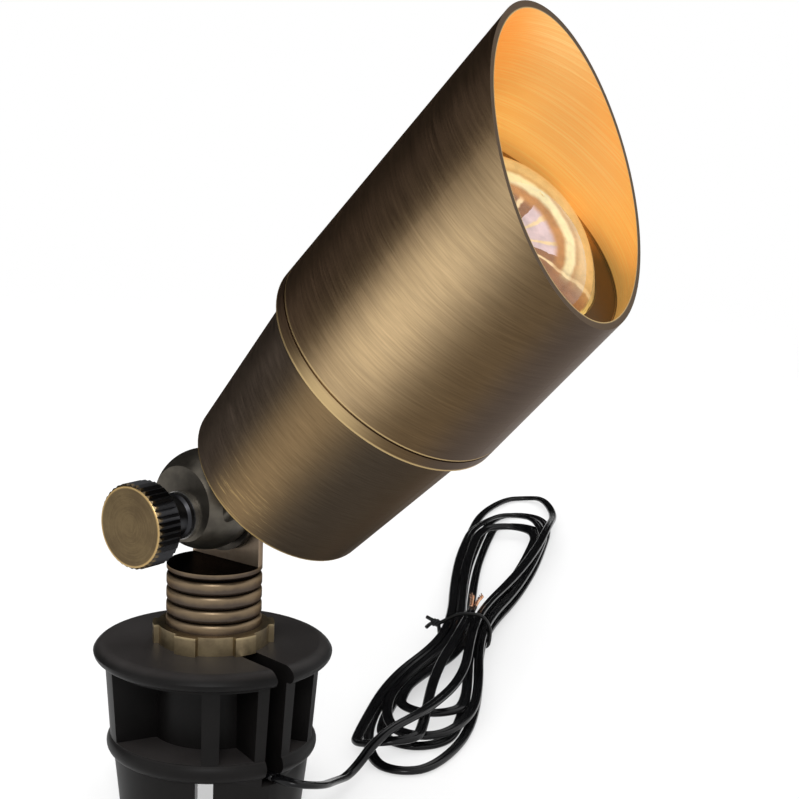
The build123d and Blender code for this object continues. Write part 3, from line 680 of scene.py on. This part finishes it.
def hoodBronze(values):
    material, tree, shader = startMaterial("hoodBronze", metallic=1.0)
    head, axis = headValues, headAxis(tree)
    marks = brushed(tree, axis, "Station", values["brush"])
    mottle = placeGroup(tree, agedMottle, Clouds_per_metre=45.0)
    flanks = placeGroup(tree, flankLight, Round=axis["Round"])
    # how far along the hood the painted highlight reaches; then painted shade on the underside, a tone
    # painted on the side facing the sky, and a painted golden highlight along both flanks, broken by patina
    # clouds
    highlightAlong = line(tree, axis["Station"], values["highlightMiddle"], values["highlightReach"])
    highlightAlong = maths(tree, "MULTIPLY_ADD", highlightAlong, *values["highlightSpan"])
    patches = maths(tree, "MULTIPLY_ADD", mottle["Clouds"], *values["patchSpan"])
    outside = blend(tree, flanks["Under"], values["mid"], values["under"])
    outside = blend(tree, flanks["Sky"], outside, values["dark"])
    outside = blend(tree, scaled(tree, flanks["Painted highlight"], highlightAlong, patches), outside, values["golden"])
    for label, key in (("Lines", "streak"), ("Bands", "bands")):
        outside = blend(tree, 1.0, outside, blend(tree, marks[label], *values[key]), "MULTIPLY")

    # painted edge highlights, partly edge wear, on the edges of the band at the hood's foot, a painted
    # highlight on the band itself, and the groove above it darkened
    grooveTop = head["bandTop"] + head["bandGroove"]
    edges = maths(tree, "MAXIMUM", line(tree, axis["Station"], head["ring"] + 0.1, 0.5),
                  line(tree, axis["Station"], grooveTop, 0.45))
    outside = blend(tree, scaled(tree, edges, values["edgeShare"]), outside, values["edge"])
    band = line(tree, axis["Station"], (head["ring"] + head["bandTop"]) / 2, values["bandHalf"])
    band = scaled(tree, band, flanks["Painted highlight"], values["bandShare"])
    outside = blend(tree, band, outside, values["edge"])
    groove = line(tree, axis["Station"], head["bandTop"] + head["bandGroove"] / 2, 0.35)
    outside = blend(tree, scaled(tree, groove, values["grooveShare"]), outside, values["dark"])

    # painted lamp light on the bore, and on the seat under the lens painted light above and painted shadow
    # below
    bored = brushed(tree, axis, "Station", values["boreBrush"])
    inside = blend(tree, ramp(tree, bored["Lines"], 0.44, 0.66), values["inner"], values["innerLight"])
    inward = ramp(tree, axis["Radius"], head["shroudRadius"] - 0.4, head["bore"] + 0.4)
    deep = ramp(tree, axis["Station"], head["seat"] + 0.6, head["seat"] + 0.2)
    way = put(tree, "ShaderNodeSeparateXYZ", {"Vector": axis["Round"]}).outputs
    seat = blend(tree, ramp(tree, way["X"], -0.1, 0.45), values["seatLit"], values["seat"])
    inside = blend(tree, deep, inside, seat)

    rim = ramp(tree, mouthFacing(tree), 0.80, 0.92)
    rim = scaled(tree, rim, ramp(tree, axis["Radius"], head["bore"] - 0.3, head["bore"] - 0.1))
    # a painted highlight along the cut face's inner edge
    lip = ramp(tree, axis["Radius"], head["bore"] + 0.3, head["bore"])
    lip = blend(tree, lip, values["rim"], values["edge"])
    tone = blend(tree, rim, blend(tree, inward, outside, inside), lip)
    surface(tree, shader, tone, marks["Lines"], values["roughness"], marks["Lines"], values["grain"])
    shader["Specular Tint"].default_value = values["grazing"]
    # a painted glow of lamp light on the bore, dimmed on the seat and none on the cut face
    lit = scaled(tree, inward, maths(tree, "MULTIPLY_ADD", deep, values["seatDimming"], 1.0))
    lit = scaled(tree, lit, maths(tree, "SUBTRACT", 1.0, rim))
    glow = ramp(tree, axis["Station"], *values["glowStations"])
    glow = blend(tree, glow, values["glow"], values["glowDeep"])
    tree.links.new(blend(tree, lit, colour(0, 0, 0), glow), shader["Emission Color"])
    shader["Emission Strength"].default_value = values["glowStrength"]
    return material


bodyValues = {
    "dark": colour(0.164, 0.124, 0.096),
    "mid": colour(0.057, 0.044, 0.032),
    "golden": colour(0.240, 0.162, 0.083),
    "fleck": colour(0.460, 0.320, 0.140),
    "edge": colour(0.600, 0.420, 0.170),
    "grazing": colour(0.66, 0.58, 0.52),
    "brush": (3.6, 2.4),
    "streak": (colour(0.52, 0.49, 0.46), colour(1.48, 1.49, 1.48)),
    "patchSpan": (0.4, 0.8),
    "fleckStations": (22.0, 3.0),
    "fleckShare": 0.75,
    "edgeStations": (1.1, 0.5),
    "edgeShare": 0.85,
    "roughness": (0.24, 0.26),
    "grain": (0.3, 0.00012),
}


def bodyBronze(values):
    material, tree, shader = startMaterial("bodyBronze", metallic=1.0)
    axis, radius = headAxis(tree), headValues["baseRadius"]
    marks = brushed(tree, axis, "Station", values["brush"])
    mottle = placeGroup(tree, agedMottle, Clouds_per_metre=55.0)
    flanks = placeGroup(tree, flankLight, Round=axis["Round"])
    patches = maths(tree, "MULTIPLY_ADD", mottle["Clouds"], *values["patchSpan"])
    # a tone painted on the side facing the sky, and a painted golden highlight along both flanks, broken by
    # patina clouds
    tone = blend(tree, flanks["Sky"], values["mid"], values["dark"])
    tone = blend(tree, scaled(tree, flanks["Painted highlight"], patches), tone, values["golden"])
    tone = blend(tree, 1.0, tone, blend(tree, marks["Lines"], *values["streak"]), "MULTIPLY")
    # flecks of painted highlight along the brush lines near the base
    fleck = ramp(tree, axis["Station"], *values["fleckStations"])
    fleck = scaled(tree, ramp(tree, marks["Lines"], 0.55, 0.70), fleck)
    fleck = scaled(tree, fleck, ramp(tree, flanks["Painted highlight"], 0.05, 0.7), values["fleckShare"])
    tone = blend(tree, fleck, tone, values["fleck"])
    # the base edge painted bright, as edge wear and a painted edge highlight
    outward = ramp(tree, axis["Radius"], radius - 1.2, radius - 0.7)
    edge = ramp(tree, axis["Station"], *values["edgeStations"])
    tone = blend(tree, scaled(tree, edge, outward, values["edgeShare"]), tone, values["edge"])
    surface(tree, shader, tone, marks["Lines"], values["roughness"], marks["Lines"], values["grain"])
    shader["Specular Tint"].default_value = values["grazing"]
    return material


knuckleValues = {
    "dark": colour(0.040, 0.035, 0.030),
    "light": colour(0.150, 0.134, 0.108),
    "roughness": (0.2, 0.26),
    "grain": (0.2, 0.00008),
}


def knuckleBronze(values):
    material, tree, shader = startMaterial("knuckleBronze", metallic=0.9)
    mottle = placeGroup(tree, agedMottle, Clouds_per_metre=70.0, Specks_per_metre=1400.0)
    tone = blend(tree, ramp(tree, mottle["Clouds"], 0.3, 0.75), values["dark"], values["light"])
    surface(tree, shader, tone, mottle["Specks"], values["roughness"], mottle["Specks"], values["grain"])
    return material


stemValues = {
    "ledge": 61.0,
    "crestRadius": 11.65,
    "rootRadius": 10.65,
    "black": colour(0.006, 0.006, 0.006),
    "groove": colour(0.020, 0.014, 0.010),
    "ridgeFoot": 41.55,
    "ridgePitch": 3.49,
    "crest": colour(0.088, 0.068, 0.054),
    "crestLight": colour(0.225, 0.165, 0.103),
    "grazing": colour(0.40, 0.35, 0.31),
    "tongue": colour(0.300, 0.230, 0.168),
    "tongueLight": colour(0.400, 0.312, 0.228),
    "roughness": (0.25, 0.25),
    "grain": (0.25, 0.0001),
}


def stemBronze(values):
    # ridges with a painted highlight on their upper flanks, dark grooves, a black ledge and a paler tongue
    material, tree, shader = startMaterial("stemBronze", metallic=0.9)
    axis = placeGroup(tree, axisPlaces)
    mottle = placeGroup(tree, agedMottle, Clouds_per_metre=160.0, Specks_per_metre=1500.0)
    climb = maths(tree, "SUBTRACT", axis["Station"], values["ridgeFoot"])
    climb = maths(tree, "FRACT", maths(tree, "DIVIDE", climb, values["ridgePitch"]))
    # a painted highlight on each ridge's upper flank, broken by clouds
    paintedHighlight = maths(tree, "MULTIPLY_ADD", mottle["Clouds"], 0.5, climb)
    crest = blend(tree, ramp(tree, paintedHighlight, 0.55, 1.0), values["crest"], values["crestLight"])
    raised = ramp(tree, axis["Radius"], values["rootRadius"] + 0.25, values["crestRadius"] - 0.1)
    ridge = blend(tree, raised, values["groove"], crest)
    tongue = blend(tree, ramp(tree, mottle["Clouds"], 0.3, 0.7), values["tongue"], values["tongueLight"])
    upper = ramp(tree, axis["Station"], values["ledge"] + 0.05, values["ledge"] + 0.3)
    ledge = line(tree, axis["Station"], values["ledge"], 0.3)
    ledge = scaled(tree, ramp(tree, uprightness(tree), 0.8, 0.95), ledge)
    tone = blend(tree, ledge, blend(tree, upper, ridge, tongue), values["black"])
    surface(tree, shader, tone, mottle["Specks"], values["roughness"], mottle["Specks"], values["grain"])
    shader["Specular Tint"].default_value = values["grazing"]
    return material


nutValues = {
    "top": 46.1,
    "dark": colour(0.200, 0.152, 0.092),
    "light": colour(0.390, 0.305, 0.180),
    "edge": colour(0.600, 0.480, 0.280),
    "edgeShare": 0.8,
    "lugRadius": 14.85,
    "roughness": (0.25, 0.24),
    "grain": (0.25, 0.0001),
}


def nutBrass(values):
    material, tree, shader = startMaterial("nutBrass", metallic=1.0)
    axis = placeGroup(tree, axisPlaces)
    mottle = placeGroup(tree, agedMottle, Clouds_per_metre=130.0, Specks_per_metre=1300.0)
    tone = blend(tree, ramp(tree, mottle["Clouds"], 0.3, 0.7), values["dark"], values["light"])
    high = ramp(tree, axis["Station"], values["top"] - 0.8, values["top"] - 0.1)
    outer = ramp(tree, axis["Radius"], values["lugRadius"] - 1.6, values["lugRadius"] - 0.2)
    tone = blend(tree, scaled(tree, high, outer, values["edgeShare"]), tone, values["edge"])
    surface(tree, shader, tone, mottle["Specks"], values["roughness"], mottle["Specks"], values["grain"])
    return material


knobValues = {
    "high": 28.5,
    "radius": 10.1,
    "black": colour(0.040, 0.040, 0.043),
    "brass": colour(0.112, 0.077, 0.040),
    "brassLight": colour(0.185, 0.132, 0.066),
    "rim": colour(0.540, 0.370, 0.160),
    "brush": (0.8, 3.2),
    "wornShares": (0.45, 0.55),  # of the turning marks and of the clouds
    "tipShare": 0.8,
    "roughness": (0.25, 0.22),
    "grain": (0.35, 0.00012),
}


def knobBrass(values):
    # a bare brass face on a blackened thumbscrew, worn bright at the tips of its teeth
    material, tree, shader = startMaterial("knobBrass", metallic=1.0)
    high, radius = values["high"], values["radius"]
    drop = (0, -headValues["pivot"][2], 0)
    axis = placeGroup(tree, axisPlaces, Move=drop, Turn=(math.radians(-90), 0, 0))
    marks = brushed(tree, axis, "Radius", values["brush"])
    mottle = placeGroup(tree, agedMottle, Clouds_per_metre=150.0)
    face = ramp(tree, axis["Station"], high - 0.25, high - 0.05)
    lineShare, cloudShare = values["wornShares"]
    worn = scaled(tree, mottle["Clouds"], cloudShare)
    worn = maths(tree, "MULTIPLY_ADD", marks["Lines"], lineShare, worn)
    brass = blend(tree, ramp(tree, worn, 0.32, 0.68), values["brass"], values["brassLight"])
    brass = blend(tree, ramp(tree, axis["Radius"], radius - 1.15, radius - 0.75), brass, values["rim"])
    tips = scaled(tree, ramp(tree, axis["Station"], high - 1.7, high - 0.6),
                  ramp(tree, axis["Radius"], radius - 0.5, radius - 0.2), values["tipShare"])
    side = blend(tree, tips, values["black"], values["brassLight"])
    tone = blend(tree, face, side, brass)
    height = scaled(tree, marks["Lines"], face)
    surface(tree, shader, tone, marks["Lines"], values["roughness"], height, values["grain"])
    return material


stakeValues = {
    "black": colour(0.0038, 0.0034, 0.0033),
    "worn": colour(0.0085, 0.0076, 0.0073),
    "upTone": colour(0.030, 0.027, 0.026),
    "upToneLight": colour(0.044, 0.040, 0.039),
    "upFacing": (0.55, 0.95),
    "roughness": (0.2, 0.34),
    "grain": (0.16, 0.0001),
}


def stakePlastic(values):
    # black moulding, lighter where it faces up
    material, tree, shader = startMaterial("stakePlastic", Specular_IOR_Level=0.13)
    mottle = placeGroup(tree, agedMottle, Clouds_per_metre=38.0, Specks_per_metre=2600.0)
    patches = ramp(tree, mottle["Clouds"], 0.3, 0.7)
    plain = blend(tree, patches, values["black"], values["worn"])
    upSide = blend(tree, patches, values["upTone"], values["upToneLight"])
    tone = blend(tree, ramp(tree, uprightness(tree), *values["upFacing"]), plain, upSide)
    surface(tree, shader, tone, mottle["Clouds"], values["roughness"], mottle["Specks"], values["grain"])
    return material


lensValues = {
    "cupRadius": 26.9,
    "cupStations": (83.3, 85.5),
    "cupSteps": 96,
    "tint": colour(0.97, 0.96, 0.93),
    "grain": (0.05, 0.0002),
    "facets": 13,
    "seamHalf": 0.13,
    "seamWaver": 0.3,
    "facetReach": 8.9,
    "band": 11.9,
    "bandHalf": 1.4,
    "edge": 13.4,
    "crescent": 19.0,
    "crescentFacing": (0.62, 0.9),
    "waver": 2.4,
    "unlit": colour(0.020, 0.014, 0.010),
    "brown": colour(0.240, 0.110, 0.050),
    "lilac": colour(0.720, 0.590, 0.620),
    "cream": colour(0.940, 0.740, 0.420),
    "amber": colour(0.500, 0.215, 0.045),
    "bright": colour(1.000, 0.890, 0.480),
    "pale": colour(0.780, 0.520, 0.200),
    "golden": colour(0.900, 0.620, 0.180),
    "shade": (colour(0.60, 0.55, 0.50), colour(1.30, 1.30, 1.30)),
    "glow": 0.95,
}


def lensGlass(values):
    # a clear dome, not quite even
    material, tree, shader = startMaterial("lensGlass", roughness=0.02, IOR=1.49, Transmission_Weight=1.0)
    mottle = placeGroup(tree, agedMottle, Clouds_per_metre=110.0)
    tree.links.new(blend(tree, mottle["Clouds"], colour(1, 1, 1), values["tint"]), shader["Base Color"])
    tree.links.new(bump(tree, mottle["Clouds"], *values["grain"]), shader["Normal"])
    return material


def addLitFacets(values):
    # a thin cup at the back of the glass, on which the lit lamp's facets and rings show
    head = headValues
    tilt = Matrix.Rotation(math.radians(head["tilt"]), 3, "Y")
    base = Vector((head["axisOffset"], 0, head["baseReach"]))

    def place(radius, angle, station):
        local = Vector((radius * math.cos(angle), radius * math.sin(angle), station))
        return (tilt @ (local + base) + Vector(head["pivot"])) * mm

    low, high = values["cupStations"]
    vertices, faces = [place(0, 0, low)], []
    for step in range(values["cupSteps"]):
        angle = 2 * math.pi * step / values["cupSteps"]
        vertices += [place(values["cupRadius"], angle, station) for station in (low, high)]
        here, after = 1 + 2 * step, 1 + 2 * ((step + 1) % values["cupSteps"])
        faces += [(0, here, after), (here, here + 1, after + 1, after)]
    cup = addMesh("litFacets", vertices, faces, smooth=False)
    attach(cup, "lens_unit")
    return cup


def litFacets(values):
    # from the middle: facets with bright seams, an amber ring, a bright one and a pale one,
    # and a golden crescent on the underside
    material, tree, shader = startMaterial("litFacets", roughness=0.4, Specular_IOR_Level=0.2)
    axis = headAxis(tree)
    mottle = placeGroup(tree, agedMottle, Clouds_per_metre=110.0, Specks_per_metre=420.0)
    waver = maths(tree, "MULTIPLY", maths(tree, "SUBTRACT", mottle["Clouds"], 0.5), values["waver"])
    radius = maths(tree, "ADD", axis["Radius"], waver)
    way = put(tree, "ShaderNodeSeparateXYZ", {"Vector": axis["Round"]}).outputs
    turn = maths(tree, "ARCTAN2", way["Y"], way["X"])
    turn = maths(tree, "MULTIPLY", turn, values["facets"] / (2 * math.pi))
    turn = maths(tree, "MULTIPLY_ADD", waver, values["seamWaver"], turn)
    chance = put(tree, "ShaderNodeTexWhiteNoise", {"W": maths(tree, "FLOOR", turn)}, noise_dimensions="1D")
    seams = line(tree, maths(tree, "FRACT", turn), 0.5, values["seamHalf"])
    tone = blend(tree, ramp(tree, chance.outputs["Value"], 0.3, 0.6), values["brown"], values["lilac"])
    tone = blend(tree, seams, tone, values["cream"])
    reach, edge, crescent = values["facetReach"], values["edge"], values["crescent"]
    tone = blend(tree, ramp(tree, radius, reach - 0.5, reach + 0.9), tone, values["amber"])
    tone = blend(tree, line(tree, radius, values["band"], values["bandHalf"]), tone, values["bright"])
    tone = blend(tree, ramp(tree, radius, edge - 0.9, edge + 0.6), tone, values["pale"])
    under = blend(tree, seams, values["brown"], values["cream"])
    under = blend(tree, ramp(tree, radius, crescent - 0.6, crescent + 0.4), under, values["golden"])
    tone = blend(tree, ramp(tree, way["X"], *values["crescentFacing"]), tone, under)
    shade = blend(tree, mottle["Specks"], *values["shade"])
    tone = blend(tree, 1.0, tone, shade, "MULTIPLY")
    tree.links.new(blend(tree, mottle["Specks"], values["unlit"], values["brown"]), shader["Base Color"])
    tree.links.new(tone, shader["Emission Color"])
    shader["Emission Strength"].default_value = values["glow"]
    return material


def mottledFinish(name, first, second, metallic, roughness, grain=0.2, clouds=120.0, **sockets):
    # a plain maker's finish with uneven tone, shine and a fine surface
    material, tree, shader = startMaterial(name, metallic=metallic, **sockets)
    mottle = placeGroup(tree, agedMottle, Clouds_per_metre=clouds, Specks_per_metre=1800.0)
    tone = blend(tree, ramp(tree, mottle["Clouds"], 0.3, 0.7), colour(*first), colour(*second))
    specks, span, depth = mottle["Specks"], 0.16, 0.00008
    surface(tree, shader, tone, specks, (span, roughness - span / 2), specks, (grain, depth))
    return material


def dress(piece, material):
    piece.data.materials.clear()
    piece.data.materials.append(material)


seal = mottledFinish("sealRubber", (0.012, 0.012, 0.012), (0.025, 0.024, 0.023), 0.0, 0.6)
steel = mottledFinish("washerSteel", (0.32, 0.31, 0.30), (0.50, 0.49, 0.47), 1.0, 0.32)
cordVinyl = mottledFinish(
    "cordVinyl", (0.0025, 0.0025, 0.003), (0.006, 0.006, 0.0065), 0.0, 0.2,
    grain=0.05, clouds=200.0, Specular_IOR_Level=0.24,
)
tieVinyl = mottledFinish(
    "tieVinyl", (0.004, 0.004, 0.004), (0.009, 0.009, 0.009), 0.0, 0.3, Specular_IOR_Level=0.3,
)
copperMetal = mottledFinish("copperStrand", (0.88, 0.42, 0.22), (1.0, 0.68, 0.48), 1.0, 0.24, 0.1, 900.0)
lampMetal = mottledFinish("lampMetal", (0.035, 0.035, 0.037), (0.075, 0.075, 0.078), 0.6, 0.42)
lampPlastic = mottledFinish("lampPlastic", (0.62, 0.61, 0.58), (0.74, 0.73, 0.70), 0.0, 0.45)
ceramic = mottledFinish("holderCeramic", (0.60, 0.57, 0.50), (0.72, 0.69, 0.62), 0.0, 0.5)
finishes = {
    "shroud": hoodBronze(bronzeValues),
    "body_housing": bodyBronze(bodyValues),
    "head_knuckle": knuckleBronze(knuckleValues),
    "knuckle_stem": stemBronze(stemValues),
    "locknut": nutBrass(nutValues),
    "thumbscrew": knobBrass(knobValues),
    "ground_stake": stakePlastic(stakeValues),
    "lens": lensGlass(lensValues),
    "lamp_optic": lampPlastic,
    "led_board": lampPlastic,
    "lamp_base": lampPlastic,
    "lamp_heatsink": lampMetal,
    "lamp_bezel": lampMetal,
    "lamp_holder": ceramic,
    "copper_tips": copperMetal,
    "hank_tie": tieVinyl,
}
sharedFinishes = (
    (steel, ("screw_washer", "holder_screws", "holder_bracket", "holder_contacts")),
    (steel, ("lamp_pins", "spigot_nut")),
    (seal, ("friction_washer", "stem_grommet", "spigot_seal", "body_oring", "lens_gasket")),
    (cordVinyl, ("stem_wire", "socket_leads", "cable_in_stem", "lead", "lead_hank")),
)
for finish, names in sharedFinishes:
    finishes.update(dict.fromkeys(names, finish))
for name, piece in nodes.items():
    dress(piece, finishes[name])
for piece, finish in ((lead, cordVinyl), (held, cordVinyl), (copper, copperMetal), (tie, tieVinyl)):
    dress(piece, finish)
dress(addLitFacets(lensValues), litFacets(lensValues))
print("finishes:", len(bpy.data.materials))

floorValues = {
    "radius": 1.1,
    "sides": 96,
    "fade": (1.0, 0.35),
    "cover": 0.6,
    "tone": colour(0.93, 0.93, 0.93),
    "toneLight": colour(0.95, 0.95, 0.95),
    "grain": 30.0,
    "whiter": 0.27,  # what the camera adds to the floor's own shade, so that open floor is white
}


def addFloor(values):
    # a pale round floor at the ground, thinned so that the buried spike shows faintly, fading outwards
    count = values["sides"]
    vertices, faces = [Vector((0, 0, 0))], []
    for step in range(count):
        angle = 2 * math.pi * step / count
        vertices.append(Vector((math.cos(angle), math.sin(angle), 0)) * values["radius"])
        faces.append((0, 1 + step, 1 + (step + 1) % count))
    floor = addMesh("paleFloor", vertices, faces, smooth=False)
    material, tree, shader = startMaterial("paleFloor", roughness=0.9, Specular_IOR_Level=0.1)
    place = put(tree, "ShaderNodeTexCoord").outputs["Object"]
    away = put(tree, "ShaderNodeVectorMath", {0: place}, operation="LENGTH").outputs["Value"]
    noise = put(tree, "ShaderNodeTexNoise", {"Vector": place, "Scale": values["grain"]}).outputs["Fac"]
    tree.links.new(blend(tree, noise, values["tone"], values["toneLight"]), shader["Base Color"])
    cover = scaled(tree, ramp(tree, away, *values["fade"]), values["cover"])
    tree.links.new(cover, shader["Alpha"])
    seen = put(tree, "ShaderNodeLightPath").outputs["Is Camera Ray"]
    tree.links.new(seen, shader["Emission Color"])
    shader["Emission Strength"].default_value = values["whiter"]
    dress(floor, material)


addFloor(floorValues)


def addLight(name, place, target, size, energy):
    data = bpy.data.lights.new(name, "AREA")
    data.shape = "RECTANGLE"
    data.size, data.size_y = size
    data.energy = energy
    light = bpy.data.objects.new(name, data)
    light.location = place
    light.rotation_euler = (Vector(target) - Vector(place)).to_track_quat("-Z", "Y").to_euler()
    bpy.context.scene.collection.objects.link(light)


def addFlag(name, corners, tone):
    # a black card that only reflections see, as a photographer sets beside shiny metal
    flag = addMesh(name, [Vector(corner) for corner in corners], [(0, 1, 2, 3)], smooth=False)
    material, tree, shader = startMaterial(name, roughness=1.0, Specular_IOR_Level=0.0)
    shader["Base Color"].default_value = tone
    dress(flag, material)
    for ray in ("camera", "diffuse", "transmission", "volume_scatter", "shadow"):
        setattr(flag, "visible_" + ray, False)


lightValues = {
    "key": ((0.75, -0.95, 0.95), (0.02, 0, 0.09), (0.5, 0.5), 7.0),
    "fill": ((-0.9, -0.7, 0.5), (0, 0, 0.08), (0.6, 0.6), 3.0),
    "skyFlag": ((-0.36, -0.45, 0.01), (-0.36, 0.45, 0.01), (-0.20, 0.45, 0.75), (-0.20, -0.45, 0.75)),
    "rearFlag": ((-1.10, 0.30, 0.01), (0.10, 1.20, 0.01), (0.10, 1.20, 0.60), (-1.10, 0.30, 0.60)),
    "flagTone": colour(0.01, 0.01, 0.01),
    "worldForObjects": 0.75,
}
addLight("keyLight", *lightValues["key"])
addLight("fillLight", *lightValues["fill"])
for name in ("skyFlag", "rearFlag"):
    addFlag(name, lightValues[name], lightValues["flagTone"])


def addWorld(values):
    world = bpy.data.worlds.new("studio")
    bpy.context.scene.world = world
    world.use_nodes = True
    tree = world.node_tree
    rays = put(tree, "ShaderNodeLightPath").outputs
    seen = maths(tree, "MAXIMUM", rays["Is Camera Ray"], rays["Is Glossy Ray"])
    seen = maths(tree, "MAXIMUM", seen, rays["Is Transmission Ray"])
    level = values["worldForObjects"]
    shade = blend(tree, seen, colour(level, level, level), colour(1, 1, 1))
    tree.links.new(shade, tree.nodes["Background"].inputs["Color"])


addWorld(lightValues)
bpy.context.scene.view_settings.view_transform = "Standard"
print("floor, lights and world set")
